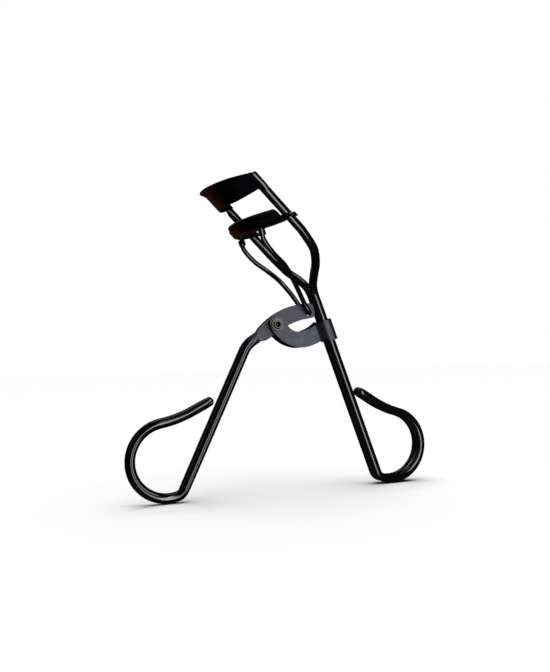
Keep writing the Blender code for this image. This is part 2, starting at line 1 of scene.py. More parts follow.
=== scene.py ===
"""Eyelash curler, as seen in a studio: lacquered wire, satin sheet and a soft pad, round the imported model.

Every piece is built at full smoothness from the CAD model's own dimensions, in its frame, and stands for
one CAD node. X runs from the moving handle to the fixed one, Y is the width of the lash plate, Z is up.
"""

import json
from math import atan2, cos, pi, radians, sin

import bmesh
import bpy
from mathutils import Matrix, Vector

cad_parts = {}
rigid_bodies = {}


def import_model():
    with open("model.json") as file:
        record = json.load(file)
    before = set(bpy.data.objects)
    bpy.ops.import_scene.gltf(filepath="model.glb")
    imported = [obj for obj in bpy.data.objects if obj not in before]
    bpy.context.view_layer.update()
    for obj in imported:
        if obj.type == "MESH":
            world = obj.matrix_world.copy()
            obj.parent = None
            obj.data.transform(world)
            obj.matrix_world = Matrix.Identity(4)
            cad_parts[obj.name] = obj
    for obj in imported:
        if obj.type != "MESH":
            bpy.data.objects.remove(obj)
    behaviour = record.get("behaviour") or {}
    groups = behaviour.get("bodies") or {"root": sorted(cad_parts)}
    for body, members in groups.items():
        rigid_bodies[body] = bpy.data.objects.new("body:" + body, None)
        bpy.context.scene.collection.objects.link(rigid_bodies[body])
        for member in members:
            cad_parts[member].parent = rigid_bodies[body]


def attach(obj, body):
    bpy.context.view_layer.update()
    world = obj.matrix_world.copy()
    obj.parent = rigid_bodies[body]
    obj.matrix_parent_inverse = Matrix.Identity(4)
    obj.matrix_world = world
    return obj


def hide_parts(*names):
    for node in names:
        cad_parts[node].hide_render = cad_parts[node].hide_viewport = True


MM = 0.001
FINE = 3                    # multiplies the steps of every curved surface

# Clearances
GAP = 0.3 * MM              # between pieces that move on each other or lie side by side
CONTACT = 0.15 * MM         # between pieces that are welded, pressed or crimped together

# Frame wire
WIRE_R = 1.4 * MM
ROD_Y = 17.0 * MM           # half the distance between the guide rods
PAIR_Y = 1.45 * MM          # half the distance between the doubled wires of the fixed handle
ROD_LEAN = radians(44.4)    # guide rods, from straight down towards +X
ROD_POINT = Vector((-4.03, 0.0, 87.29)) * MM
ROD_TOP = 16.0 * MM         # from ROD_POINT up to the rods' ends
ROD_ELBOW = 6.6 * MM        # from ROD_POINT down to where the rods begin to draw together
FLAT_FROM = 10.0 * MM       # the rods are forged flat above this
FLAT_THICKNESS = 0.74       # of the round wire's diameter
FLAT_SHIFT = 0.32 * MM      # and its middle is set inwards by this

# Fixed handle and finger loops
FIXED_LEAN = radians(19.5)
FIXED_POINT = Vector((15.7, 0.0, 52.3)) * MM     # the handle's centre line passes here, inside the sleeve
LOOP_BEND_R, LOOP_BEND = 3.4 * MM, radians(51.0)
LOOP_R, LOOP_TURN = 11.5 * MM, radians(183.5)
LOOP_BACK_R, LOOP_BACK = 36.0 * MM, radians(16.5)
LOOP_END = 4.8 * MM

# Moving handle
HANDLE_R = 1.68 * MM
MOVING_LEAN = radians(25.9)
ROUNDED_END = 2.8 * MM      # past the loop's last bend
PIVOT = Vector((-2.54, 0.0, 54.32)) * MM
NECK_POINT = Vector((-4.95, 0.0, 52.75)) * MM
NECK_LEAN = radians(57.0)
NECK_LENGTH = 6.6 * MM
NECK_BEND_R = 8.0 * MM
LEVER_T = 2.2 * MM
WIRE_HOLE = Vector((9.26, 0.0, 58.3)) * MM         # centre of the push wire's hole in the lever
WIRE_HOLE_R = 1.15 * MM

# Bracket
SHEET = 0.8 * MM
SIDE_PLAY = 0.7 * MM        # between the lever and a cheek
CHEEK_Y = LEVER_T / 2 + SIDE_PLAY + SHEET / 2     # middle of a cheek's sheet
SLEEVE_LENGTH = 7.0 * MM
JOGGLE_FROM, JOGGLE_TO = -4.2 * MM, -1.0 * MM     # across the handle, a cheek's step out to the sleeve
RIVET_R = 1.1 * MM
RIVET_HEAD_R = 2.1 * MM

# Head: lash plate, jaw and pad
SKEW = 0.6                  # how far the edges rise along the rods for each unit of bulge
ARC_R = 17.85 * MM          # middle of the plate's sheet, and the jaw's centre line
ARC_X = -9.97 * MM          # centre of the arc
PLATE_T = 0.7 * MM
PLATE_BOTTOM, PLATE_TOP = 9.2 * MM, 16.8 * MM
PLATE_CROWN = 0.15 * MM     # extra height in the middle of the top edge
CORNER_RISE, CORNER_FROM = 2.2 * MM, radians(24.0)     # the bottom edge rises towards the rods
LIP_HEIGHT, LIP_FLARE = 1.8 * MM, 0.8 * MM
PLATE_ANGLE = radians(60.0)
JAW_FLOOR = -2.3 * MM       # underside of the jaw
JAW_RIM = 0.5 * MM
JAW_SHEET = 0.6 * MM
JAW_OUT, JAW_IN = 2.7 * MM, -2.2 * MM
JAW_ANGLE, EAR_ANGLE = radians(52.5), radians(59.0)
EAR_TOP, EAR_INNER = -0.3 * MM, -0.6 * MM
EYELET_BOTTOM, EYELET_TOP = -1.5 * MM, -0.15 * MM
END_RISE, END_FROM = 0.7 * MM, radians(30.0)         # the jaw's floor rises towards the rods
EYELET_R = 2.2 * MM
PAD_TOP = 2.95 * MM
PAD_ANGLE = radians(52.0)

# Push wire
PUSH_R = 0.8 * MM
TENON_R, FORMED_HEAD_R = 0.5 * MM, 0.7 * MM
PUSH_SEAT = Vector((6.7, 9.95)) * MM               # where it passes the jaw's floor, in HEAD x and y
PUSH_ROUTE = ((-9.0, 9.7, 80.2), (-5.7, 9.0, 76.3), (-1.5, 7.7, 72.9), (1.8, 5.4, 69.4), (5.1, 3.4, 64.7),
              (7.45, 2.3, 60.8))
COLLAR_R, COLLAR_LENGTH = 1.15 * MM, 1.9 * MM

DOWN_ROD = Vector((sin(ROD_LEAN), 0.0, -cos(ROD_LEAN)))
BULGE = Vector((-cos(ROD_LEAN), 0.0, -sin(ROD_LEAN)))
WIDTH = Vector((0.0, 1.0, 0.0))
HEAD = Matrix.Translation(ROD_POINT) @ Matrix(
    (BULGE - SKEW * DOWN_ROD, WIDTH, -DOWN_ROD)).transposed().to_4x4()

# Camera, in metres and radians
CAMERA_PLACE = Vector((-84.77, -212.61, 41.06)) * MM
CAMERA_TURN = radians(21.154)       # from +Y towards +X
CAMERA_RISE = radians(2.425)
CAMERA_ROLL = radians(-1.614)
FOCAL_PIXELS = 700.07
FRAME_HEIGHT = 672
SENSOR = 36.0

# Studio
AIM = Vector((0.0, 0.0, 0.05))
FLOOR_R = 6.0
FLOOR_DROP = 0.02 * MM
FLOOR_LIGHT = 3.95
WORLD_SEEN = 1.0
WORLD_DARK = (0.006, 0.006, 0.007)
WORLD_GLOW = (  # towards, colour, cosine of the angle at which the glow fades out
    ((-0.1, 0.9, -0.42), (0.10, 0.028, 0.018), 0.80),
    ((-0.4, -0.55, -0.72), (0.05, 0.06, 0.09), 0.75),
)
LAMPS = (  # name, azimuth in degrees, height, distance, (width, height), radiance, the pieces lit
    ("wire_strip_left", -14.0, 0.125, 0.62, (0.12, 0.95), 6.5, "wires"),
    ("wire_strip_right", 2.0, 0.125, 0.62, (0.12, 0.95), 6.5, "wires"),
    ("handle_strip_left", 9.0, 0.125, 0.62, (0.08, 0.95), 8.0, "handle"),
    ("handle_strip_right", 43.0, 0.125, 0.62, (0.10, 0.95), 8.0, "handle"),
    ("sheet_box", 24.0, 0.22, 0.62, (0.26, 0.50), 3.6, "sheet"),
    ("head_box", 20.0, 0.45, 0.62, (0.26, 0.45), 4.0, "head"),
    ("top", 180.0, 0.8, 0.15, (0.5, 0.4), 1.0, "all"),
    ("back_strip", 205.0, 0.40, 0.7, (0.16, 0.5), 0.8, "all"),
    ("side_strip", 285.0, 0.45, 0.7, (0.14, 0.5), 0.5, "all"),
)
LIT = {  # the CAD nodes in each group of lit pieces
    "wires": ("frame_wire", "push_wire", "collar_near", "collar_far"),
    "handle": ("moving_handle",),
    "sheet": ("bracket", "pivot_rivet"),
    "head": ("upper_plate", "lower_jaw", "pad"),
}

# Finishes
EDGE = 0.12 * MM            # width of the rounded edges on sheet, pad and lever
GLOSS_ROUGH = 0.13
PLATE_ROUGH, BRACKET_ROUGH = 0.27, 0.36
BRACKET_SPECULAR = 0.75
GLOSS_DARK, GLOSS_LIGHT = (0.0022, 0.0022, 0.0028), (0.0042, 0.0042, 0.0052)
SATIN_DARK, SATIN_LIGHT = (0.016, 0.023, 0.044), (0.022, 0.031, 0.058)
SATIN_SHEEN = (0.80, 0.88, 1.0)
PLATE_DARK, PLATE_LIGHT = (0.0025, 0.0025, 0.003), (0.0045, 0.0045, 0.006)
FORGED_FROM, FORGED_TO = 48.2 * MM, 50.4 * MM      # height over which the handle's finish changes


# ---------------------------------------------------------------- helpers

def new_collection(name):
    group = bpy.data.collections.new(name)
    bpy.context.scene.collection.children.link(group)
    return group


def add_object(name, data, group, mat=None):
    item = bpy.data.objects.new(name, data)
    group.objects.link(item)
    if mat:
        data.materials.append(mat)
    return item


def mesh_object(name, bm, group, mat=None, smooth=True):
    """Turn a bmesh into an object, with outward normals and smooth round faces."""
    bmesh.ops.recalc_face_normals(bm, faces=bm.faces)
    mesh = bpy.data.meshes.new(name)
    bm.to_mesh(mesh)
    bm.free()
    if smooth:
        mesh.shade_smooth()
        mesh.set_sharp_from_angle(angle=radians(35))
    return add_object(name, mesh, group, mat)


def wire(name, points, radius, group, radii=None, sides=4):
    """A round wire along 3-D points, as a curve with filled caps."""
    curve = bpy.data.curves.new(name, "CURVE")
    curve.dimensions = "3D"
    curve.bevel_depth = radius
    curve.bevel_resolution = sides * FINE
    curve.use_fill_caps = True
    spline = curve.splines.new("POLY")
    spline.points.add(len(points) - 1)
    for index, (target, point) in enumerate(zip(spline.points, points)):
        target.co = (*point, 1.0)
        target.radius = radii[index] if radii else 1.0
    return add_object(name, curve, group)


def outline_solid(name, loops, thickness, group):
    """A flat plate in the XZ plane, from an outer loop and any holes, centred on Y = 0."""
    curve = bpy.data.curves.new(name, "CURVE")
    curve.dimensions = "2D"
    curve.fill_mode = "BOTH"
    curve.extrude = thickness / 2
    for loop in loops:
        spline = curve.splines.new("POLY")
        spline.points.add(len(loop) - 1)
        for target, (x, z) in zip(spline.points, loop):
            target.co = (x, z, 0.0, 1.0)
        spline.use_cyclic_u = True
    item = add_object(name, curve, group)
    item.rotation_euler = (pi / 2, 0.0, 0.0)
    return item


def as_mesh(item, group, mat=None):
    """Replace a curve with its welded mesh, which a Boolean can use."""
    bpy.context.view_layer.update()
    graph = bpy.context.evaluated_depsgraph_get()
    mesh = bpy.data.meshes.new_from_object(item.evaluated_get(graph))
    mesh.transform(item.matrix_world)
    bm = bmesh.new()
    bm.from_mesh(mesh)
    bmesh.ops.remove_doubles(bm, verts=bm.verts, dist=0.002 * MM)
    name = item.name
    curve = item.data
    bpy.data.objects.remove(item, do_unlink=True)
    bpy.data.curves.remove(curve)
    bpy.data.meshes.remove(mesh)
    return mesh_object(name, bm, group, mat)


def combine(item, tool, operation, cutters):
    """Add a Boolean of `tool` to `item`, and keep the tool out of sight among the cutters."""
    step = item.modifiers.new(operation.title(), "BOOLEAN")
    step.operation = operation
    step.solver = "EXACT"
    step.object = tool
    for group in list(tool.users_collection):
        group.objects.unlink(tool)
    cutters.objects.link(tool)
    tool.hide_render = True
    tool.display_type = "WIRE"


def cylinder(name, radius, length, centre, axis, group, sides=32):
    bm = bmesh.new()
    bmesh.ops.create_cone(bm, cap_ends=True, segments=sides * FINE, radius1=radius, radius2=radius,
                          depth=length)
    turn = Vector((0.0, 0.0, 1.0)).rotation_difference(axis).to_matrix().to_4x4()
    bmesh.ops.transform(bm, matrix=Matrix.Translation(centre) @ turn, verts=bm.verts)
    return mesh_object(name, bm, group)


def turned(name, profile, centre, axis, group, mat, steps=32):
    """Spin a profile of (radius, height) pairs, given from top to bottom, round an axis."""
    bm = bmesh.new()
    verts = [bm.verts.new((r, 0.0, h)) for r, h in profile]
    for first, second in zip(verts, verts[1:]):
        bm.edges.new((first, second))
    mesh = bpy.data.meshes.new(name)
    bm.to_mesh(mesh)
    bm.free()
    item = add_object(name, mesh, group, mat)
    screw = item.modifiers.new("Screw", "SCREW")
    screw.axis = "Z"
    screw.steps = screw.render_steps = steps * FINE
    screw.use_merge_vertices = True
    screw.merge_threshold = 0.001 * MM
    screw.use_smooth_shade = True
    item.location = centre
    item.rotation_mode = "QUATERNION"
    item.rotation_quaternion = Vector((0.0, 0.0, 1.0)).rotation_difference(axis)
    return item


def smooth_route(knots, steps):
    """Points of a smooth curve through the knots (Catmull-Rom), with `steps` points a span."""
    ends = [2 * knots[0] - knots[1], *knots, 2 * knots[-1] - knots[-2]]
    route = []
    for a, b, c, d in zip(ends, ends[1:], ends[2:], ends[3:]):
        for step in range(steps * FINE):
            t = step / (steps * FINE)
            route.append(0.5 * (2 * b + (c - a) * t + (2 * a - 5 * b + 4 * c - d) * t ** 2
                                + (3 * b - a - 3 * c + d) * t ** 3))
    return [*route, knots[-1]]


class Pen:
    """Draws a bent wire's centre line in the XZ plane, from a start point and a lean from straight down."""

    def __init__(self, start, lean):
        self.points = [start.copy()]
        self.lean = lean

    def heading(self):
        return Vector((sin(self.lean), 0.0, -cos(self.lean)))

    def line(self, length):
        self.points.append(self.points[-1] + self.heading() * length)

    def arc(self, radius, turn, steps):
        """Turn by an angle; a positive one leans further towards +X."""
        side = 1.0 if turn > 0.0 else -1.0
        centre = self.points[-1] + radius * side * Vector((cos(self.lean), 0.0, sin(self.lean)))
        first, steps = self.lean, steps * FINE
        for step in range(1, steps + 1):
            self.lean = first + turn * step / steps
            out = Vector((cos(self.lean), 0.0, sin(self.lean)))
            self.points.append(centre - radius * side * out)


def finger_loop(pen, side):
    """The teardrop loop at the end of a handle, bending towards `side` along X."""
    pen.arc(LOOP_BEND_R, side * LOOP_BEND, 6)
    pen.arc(LOOP_R, side * LOOP_TURN, 20)
    pen.arc(LOOP_BACK_R, -side * LOOP_BACK, 4)
    pen.line(LOOP_END)


def leg_length(start, lean, side, radius):
    """How far the straight handle runs, for its loop to stand on the ground."""
    pen = Pen(start, lean)
    finger_loop(pen, side)
    lowest = min(point.z for point in pen.points)
    return (lowest - radius) / cos(lean)


def lying_on_y(points, y):
    return [Vector((point.x, y, point.z)) for point in points]


# ---------------------------------------------------------------- frame

def frame_wire_route():
    """Centre line of the near half: guide rod, neck, fixed handle and loop, up to the loop's tip."""
    rod_marks = (ROD_TOP, ROD_TOP - 0.5 * MM, FLAT_FROM + 1.2 * MM, FLAT_FROM, FLAT_FROM - 0.8 * MM, 0.0,
                 -ROD_ELBOW)
    rod = [ROD_POINT - mark * DOWN_ROD - ROD_Y * WIDTH for mark in rod_marks]
    neck = [Vector(knot) * MM for knot in
            ((3.4, -16.3, 79.3), (5.5, -15.1, 76.7), (7.5, -11.6, 73.2), (9.0, -6.9, 70.4),
             (10.3, -2.9, 67.4))]
    down = Vector((sin(FIXED_LEAN), 0.0, -cos(FIXED_LEAN)))
    joined = [FIXED_POINT - down * above - PAIR_Y * WIDTH for above in (13.0 * MM, 10.0 * MM)]
    draw_in = smooth_route([rod[-1], *neck, *joined], 4)
    leg = leg_length(FIXED_POINT, FIXED_LEAN, 1, WIRE_R)
    pen = Pen(FIXED_POINT, FIXED_LEAN)
    pen.line(leg)
    finger_loop(pen, 1)
    tip_heading = pen.heading()
    return rod[:-1] + draw_in + lying_on_y(pen.points[1:], -PAIR_Y), tip_heading


def flatten_rod_ends(item):
    """Forge the tops of the guide rods flat against the plate's ends."""
    face = plate_end_normal()
    for vertex in item.data.vertices:
        side = 1.0 if vertex.co.y > 0.0 else -1.0
        axis_point = ROD_POINT + side * ROD_Y * WIDTH
        along = (vertex.co - axis_point).dot(-DOWN_ROD)
        if along < FLAT_FROM - 0.1 * MM:
            continue
        normal = Vector((face.x, side * face.y, face.z))
        off = vertex.co - (axis_point - along * DOWN_ROD)
        in_face = off - normal * off.dot(normal)
        amount = min(1.0, (along - FLAT_FROM + 0.1 * MM) / (1.0 * MM))
        thin = 1.0 - amount * (1.0 - FLAT_THICKNESS)
        wide = 1.0 + amount * 0.05
        depth = off.dot(normal) * thin - amount * FLAT_SHIFT
        vertex.co = axis_point - along * DOWN_ROD + normal * depth + in_face * wide


def plate_end_normal():
    """Outward normal of the plate's sheet at its +Y end, square to the rods."""
    angle = PLATE_ANGLE
    return (cos(angle) * BULGE + sin(angle) * WIDTH).normalized()


def build_frame_wire(group, mat):
    near, tip_heading = frame_wire_route()
    tip = near[-1] + PAIR_Y * WIDTH
    turn_steps = 8 * FINE
    hairpin = []
    for step in range(1, turn_steps):
        angle = pi * step / turn_steps
        hairpin.append(tip - cos(angle) * PAIR_Y * WIDTH + sin(angle) * PAIR_Y * tip_heading)
    far = [Vector((point.x, -point.y, point.z)) for point in reversed(near)]
    route = near + hairpin + far
    radii = [1.0] * len(route)
    radii[0] = radii[-1] = 0.72
    item = as_mesh(wire("frame_wire", route, WIRE_R, group, radii), group, mat)
    flatten_rod_ends(item)
    return item


# ---------------------------------------------------------------- head

def spun(name, profile, start, end, steps, group, mat=None):
    """Sweep a closed profile of (offset from the arc, height) pairs along the head's arc, then skew it."""
    bm = bmesh.new()
    verts = [bm.verts.new((ARC_R + offset, 0.0, height)) for offset, height in profile]
    edges = [bm.edges.new((verts[i - 1], verts[i])) for i in range(len(verts))]
    bmesh.ops.rotate(bm, verts=verts, cent=(0, 0, 0), matrix=Matrix.Rotation(start, 3, "Z"))
    bmesh.ops.spin(bm, geom=verts + edges, cent=(0, 0, 0), axis=(0, 0, 1), angle=end - start,
                   steps=steps * FINE)
    bmesh.ops.holes_fill(bm, edges=bm.edges, sides=0)
    bmesh.ops.transform(bm, matrix=HEAD @ Matrix.Translation((ARC_X, 0, 0)), verts=bm.verts)
    return mesh_object(name, bm, group, mat)


def build_upper_plate(group, mat):
    """The curved lash plate: a sheet whose top edge is crowned and rolls outwards, away from the rods."""
    rows = 8 * FINE
    half = PLATE_T / 2
    heights = [PLATE_BOTTOM + (PLATE_TOP - PLATE_BOTTOM) * row / rows for row in range(rows + 1)]
    profile = [(half, height) for height in heights] + [(0.0, PLATE_TOP + 0.15 * MM)]
    profile += [(-half, height) for height in reversed(heights)] + [(0.0, PLATE_BOTTOM - 0.15 * MM)]
    plate = spun("upper_plate", profile, -PLATE_ANGLE, PLATE_ANGLE, 40, group, mat)
    to_head = HEAD.inverted()
    for vertex in plate.data.vertices:
        local = to_head @ vertex.co
        bulge = max(0.0, local.x / (ARC_R + ARC_X))
        reach = (local.z - PLATE_BOTTOM) / (PLATE_TOP - PLATE_BOTTOM)
        lip = max(0.0, (local.z - PLATE_TOP + LIP_HEIGHT) / LIP_HEIGHT) ** 2
        outward = Vector((local.x - ARC_X, local.y, 0.0)).normalized()
        local += outward * LIP_FLARE * lip * min(1.0, 2.0 * bulge)
        local.z += PLATE_CROWN * bulge * reach
        corner = (abs(atan2(local.y, local.x - ARC_X)) - CORNER_FROM) / (PLATE_ANGLE - CORNER_FROM)
        local.z += CORNER_RISE * max(0.0, corner) ** 1.5 * (1.0 - reach)
        vertex.co = HEAD @ local
    return plate


def rod_cylinder(name, radius, bottom, top, side, group):
    """A cylinder round a guide rod, its ends skewed like the head."""
    bm = bmesh.new()
    bmesh.ops.create_cone(bm, cap_ends=True, segments=32 * FINE, radius1=radius, radius2=radius,
                          depth=top - bottom)
    place = Matrix.Translation((0.0, side * ROD_Y, (top + bottom) / 2))
    bmesh.ops.transform(bm, matrix=HEAD @ place, verts=bm.verts)
    return mesh_object(name, bm, group)


def build_lower_jaw(group, cutters, mat):
    floor, rim, t = JAW_FLOOR, JAW_RIM, JAW_SHEET
    channel = ((JAW_OUT, rim), (JAW_OUT, floor + 0.5 * MM), (JAW_OUT - 0.5 * MM, floor),
               (JAW_IN + 0.5 * MM, floor), (JAW_IN, floor + 0.5 * MM), (JAW_IN, rim),
               (JAW_IN + t, rim), (JAW_IN + t, floor + t), (JAW_OUT - t, floor + t), (JAW_OUT - t, rim))
    jaw = spun("lower_jaw", channel, -EAR_ANGLE, EAR_ANGLE, 38, group, mat)
    to_head = HEAD.inverted()
    for vertex in jaw.data.vertices:
        local = to_head @ vertex.co
        end = max(0.0, abs(atan2(local.y, local.x - ARC_X)) - END_FROM) / (EAR_ANGLE - END_FROM)
        local.z += END_RISE * end ** 2 * (rim - local.z) / (rim - floor)
        vertex.co = HEAD @ local
    far_out, beyond = 6 * MM, EAR_ANGLE + radians(10)
    above_ear = ((far_out, EAR_TOP), (far_out, far_out), (-far_out, far_out), (-far_out, EAR_TOP))
    inside_ear = ((EAR_INNER, -far_out), (EAR_INNER, far_out), (-far_out, far_out), (-far_out, -far_out))
    for label, side in (("near", -1), ("far", 1)):
        start, end = sorted((side * JAW_ANGLE, side * beyond))
        for shape, trim in (("above", above_ear), ("inside", inside_ear)):
            cut = spun(f"ear_{shape}_{label}", trim, start, end, 4, group)
            combine(jaw, cut, "DIFFERENCE", cutters)
        eyelet = rod_cylinder(f"eyelet_{label}", EYELET_R, EYELET_BOTTOM, EYELET_TOP, side, group)
        combine(jaw, eyelet, "UNION", cutters)
    for label, side in (("near", -1), ("far", 1)):
        bore = rod_cylinder(f"rod_bore_{label}", WIRE_R + GAP, floor - 3 * MM, rim + 3 * MM, side, group)
        combine(jaw, bore, "DIFFERENCE", cutters)
    for label, side in (("near", -1), ("far", 1)):
        seat, heading = push_seat(side, floor + t / 2), push_top_heading(side)
        hole = cylinder(f"seat_hole_{label}", TENON_R + 0.2 * MM, 3 * t, seat, heading, group, 20)
        combine(jaw, hole, "DIFFERENCE", cutters)
    return jaw


def build_pad(group, mat):
    """The soft strip: its foot fills the channel above the push wire's heads, its crown stands proud."""
    foot_in, foot_out = JAW_IN + JAW_SHEET + 0.2 * MM, JAW_OUT - JAW_SHEET - 0.2 * MM
    foot = JAW_FLOOR + JAW_SHEET + 0.75 * MM
    shoulder = JAW_RIM + 0.3 * MM
    centre = (foot_in + foot_out) / 2
    crown_half = (foot_out - foot_in) / 2 + 0.35 * MM
    crown_base = PAD_TOP - 1.5 * MM
    profile = [(foot_out, foot), (foot_out, shoulder), (centre + crown_half, shoulder)]
    crown_steps = 8 * FINE
    for step in range(crown_steps + 1):
        angle = pi * step / crown_steps
        profile.append((centre + crown_half * cos(angle), crown_base + (PAD_TOP - crown_base) * sin(angle)))
    profile += [(centre - crown_half, shoulder), (foot_in, shoulder), (foot_in, foot)]
    profile.reverse()
    return spun("pad", profile, -PAD_ANGLE, PAD_ANGLE, 36, group, mat)


# ---------------------------------------------------------------- push wire

def push_seat(side, height):
    """Where a push wire end passes the jaw, at a height along the rods."""
    return HEAD @ Vector((PUSH_SEAT.x, side * PUSH_SEAT.y, height))


def push_top_heading(side):
    """Direction of the push wire below the jaw, downwards."""
    first = Vector(PUSH_ROUTE[0]) * MM
    first.y *= side
    return (first - push_seat(side, JAW_FLOOR)).normalized()


def push_wire_half():
    """Near half of the push wire, from its formed head on the jaw's floor to the lever's hole."""
    heading = push_top_heading(-1)
    floor_low = push_seat(-1, JAW_FLOOR)
    floor_high = floor_low - heading * JAW_SHEET / heading.dot(DOWN_ROD)
    head_foot = floor_high - heading * CONTACT
    shoulder = floor_low + heading * 0.2 * MM
    points = [head_foot - heading * 0.3 * MM, head_foot - heading * 0.25 * MM, head_foot,
              head_foot + heading * 0.02 * MM, shoulder, shoulder + heading * 0.05 * MM]
    head = FORMED_HEAD_R / PUSH_R
    radii = [0.6 * head, head, head, TENON_R / PUSH_R, TENON_R / PUSH_R, 1.0]
    knots = [Vector((x, -y, z)) * MM for x, y, z in PUSH_ROUTE]
    bend_r = 1.15 * MM
    fall = (WIRE_HOLE - knots[-1])
    fall.y = 0.0
    fall.normalize()
    side_y = LEVER_T / 2 + PUSH_R + GAP
    bend_start = WIRE_HOLE - fall * bend_r - WIDTH * side_y
    route = smooth_route([shoulder + heading * 0.4 * MM, *knots, bend_start], 3)
    bend = []
    bend_steps = 6 * FINE
    for step in range(1, bend_steps + 1):
        angle = pi / 2 * step / bend_steps
        bend.append(bend_start + fall * bend_r * sin(angle) + WIDTH * bend_r * (1 - cos(angle)))
    points += route + bend
    radii += [1.0] * (len(route) + len(bend))
    return points, radii


def build_push_wire(group, mat):
    near, radii = push_wire_half()
    far = [Vector((point.x, -point.y, point.z)) for point in reversed(near)]
    item = wire("push_wire", near + far, PUSH_R, group, radii + radii[::-1])
    return as_mesh(item, group, mat)


def build_collar(name, side, group, mat):
    """A bead crimped on the push wire, just under the jaw."""
    bore = PUSH_R + CONTACT
    half = COLLAR_LENGTH / 2
    profile = [(bore, half)]
    steps = 6 * FINE
    for step in range(steps + 1):
        angle = pi * step / steps
        bulge = bore + 0.12 * MM + (COLLAR_R - bore - 0.12 * MM) * sin(angle)
        profile.append((bulge, half * cos(angle)))
    profile += [(bore, -half), (bore, half)]
    heading = push_top_heading(side)
    centre = push_seat(side, JAW_FLOOR) + heading * (GAP + half + 0.05 * MM)
    return turned(name, profile, centre, -heading, group, mat, 24)


# ---------------------------------------------------------------- bracket, rivet and moving handle

def bracket_outline():
    """The bracket seen square on: two C-shaped cheeks round the pivot, and the sleeve."""
    c_shape = [Vector((x, 0.0, z)) * MM for x, z in
               ((14.6, 49.6), (9.6, 47.4), (5.2, 46.75), (1.0, 47.9), (-2.2, 50.1), (-4.5, 52.9),
                (-5.0, 55.3), (-3.2, 56.9), (-1.0, 56.5), (0.5, 54.7), (2.5, 52.6), (5.1, 51.9),
                (8.3, 52.7), (11.2, 54.2), (13.4, 55.7))]
    run = [(point.x, point.z) for point in smooth_route(c_shape, 4)]
    down = Vector((sin(FIXED_LEAN), 0.0, -cos(FIXED_LEAN)))
    across = Vector((cos(FIXED_LEAN), 0.0, sin(FIXED_LEAN)))
    half = SLEEVE_LENGTH / 2
    corners = [FIXED_POINT - down * half - across * 2.0 * MM, FIXED_POINT - down * half + across * 4.0 * MM,
               FIXED_POINT + down * half + across * 4.0 * MM, FIXED_POINT + down * half - across * 1.2 * MM]
    return run + [(corner.x, corner.z) for corner in corners]


def sheet_section():
    """Half of the folded sheet's middle line: (distance across the handle, y) from cheek to back."""
    wrap_y = PAIR_Y + WIRE_R + CONTACT + SHEET / 2
    wrap_x = WIRE_R + CONTACT + SHEET / 2
    corner = wrap_x - 0.15 * MM
    points = [(-26.0 * MM, CHEEK_Y), (JOGGLE_FROM, CHEEK_Y)]
    joggle_steps = 6 * FINE
    for step in range(1, joggle_steps + 1):
        t = step / joggle_steps
        ease = t * t * (3 - 2 * t)
        points.append((JOGGLE_FROM + (JOGGLE_TO - JOGGLE_FROM) * t, CHEEK_Y + (wrap_y - CHEEK_Y) * ease))
    fold_steps = 5 * FINE
    for step in range(fold_steps + 1):
        angle = pi / 2 * step / fold_steps
        points.append((wrap_x - corner + corner * sin(angle), wrap_y - corner + corner * cos(angle)))
    return points


def build_bracket(group, cutters, mat):
    """A sheet folded round the doubled wire, trimmed to the bracket's outline."""
    half = sheet_section()
    section = [(x, -y) for x, y in half] + [(x, y) for x, y in reversed(half)]
    down = Vector((sin(FIXED_LEAN), 0.0, -cos(FIXED_LEAN)))
    across = Vector((cos(FIXED_LEAN), 0.0, sin(FIXED_LEAN)))
    reach = 14.0 * MM
    bm = bmesh.new()
    rows = []
    for end in (-reach, reach):
        rows.append([bm.verts.new(FIXED_POINT + down * end + across * x + WIDTH * y) for x, y in section])
    for i in range(len(section) - 1):
        bm.faces.new((rows[0][i], rows[0][i + 1], rows[1][i + 1], rows[1][i]))
    mesh = bpy.data.meshes.new("bracket")
    bm.to_mesh(mesh)
    bm.free()
    bracket = add_object("bracket", mesh, group, mat)
    thick = bracket.modifiers.new("Solidify", "SOLIDIFY")
    thick.thickness = SHEET
    thick.offset = 0.0
    thick.use_even_offset = True
    outline = as_mesh(outline_solid("bracket_outline", [bracket_outline()], 12 * MM, group), group)
    combine(bracket, outline, "INTERSECT", cutters)
    hole = cylinder("rivet_hole_bracket", RIVET_R + CONTACT, 12 * MM, PIVOT, WIDTH, group)
    combine(bracket, hole, "DIFFERENCE", cutters)
    return bracket


def build_pivot_rivet(group, mat):
    """A semi-tubular rivet with a rolled head on each side."""
    seat = CHEEK_Y + SHEET / 2 + CONTACT
    top = seat + 0.5 * MM
    well, well_r = top - 1.3 * MM, 0.8 * MM
    flange = top - 0.24 * MM
    half = [(0.0, well + 0.25 * MM), (0.3 * MM, well + 0.2 * MM), (0.5 * MM, well),
            (well_r, well + 0.2 * MM), (well_r, top - 0.2 * MM), (well_r + 0.14 * MM, top),
            (1.18 * MM, top), (1.32 * MM, top - 0.2 * MM), (1.5 * MM, flange),
            (RIVET_HEAD_R - 0.15 * MM, flange), (RIVET_HEAD_R, seat + 0.12 * MM),
            (RIVET_HEAD_R - 0.06 * MM, seat), (RIVET_R, seat)]
    profile = half + [(r, -h) for r, h in reversed(half)]
    return turned("pivot_rivet", profile, PIVOT, -WIDTH, group, mat)


def lever_outline():
    """The flat lever seen square on, from the forged neck to the end with the push wire's hole."""
    edge = [Vector((x, 0.0, z)) * MM for x, z in
            ((-9.4, 50.2), (-8.7, 52.6), (-6.2, 55.2), (-3.1, 57.5), (1.2, 59.7), (5.0, 60.85), (9.0, 61.4),
             (10.7, 60.9), (11.3, 59.4), (11.3, 57.6), (10.5, 56.6), (6.4, 55.8), (1.8, 54.1),
             (-1.4, 52.0), (-4.2, 50.3), (-7.0, 49.1))]
    closed = smooth_route([*edge, edge[0]], 3)[:-1]
    return [(point.x, point.z) for point in closed]


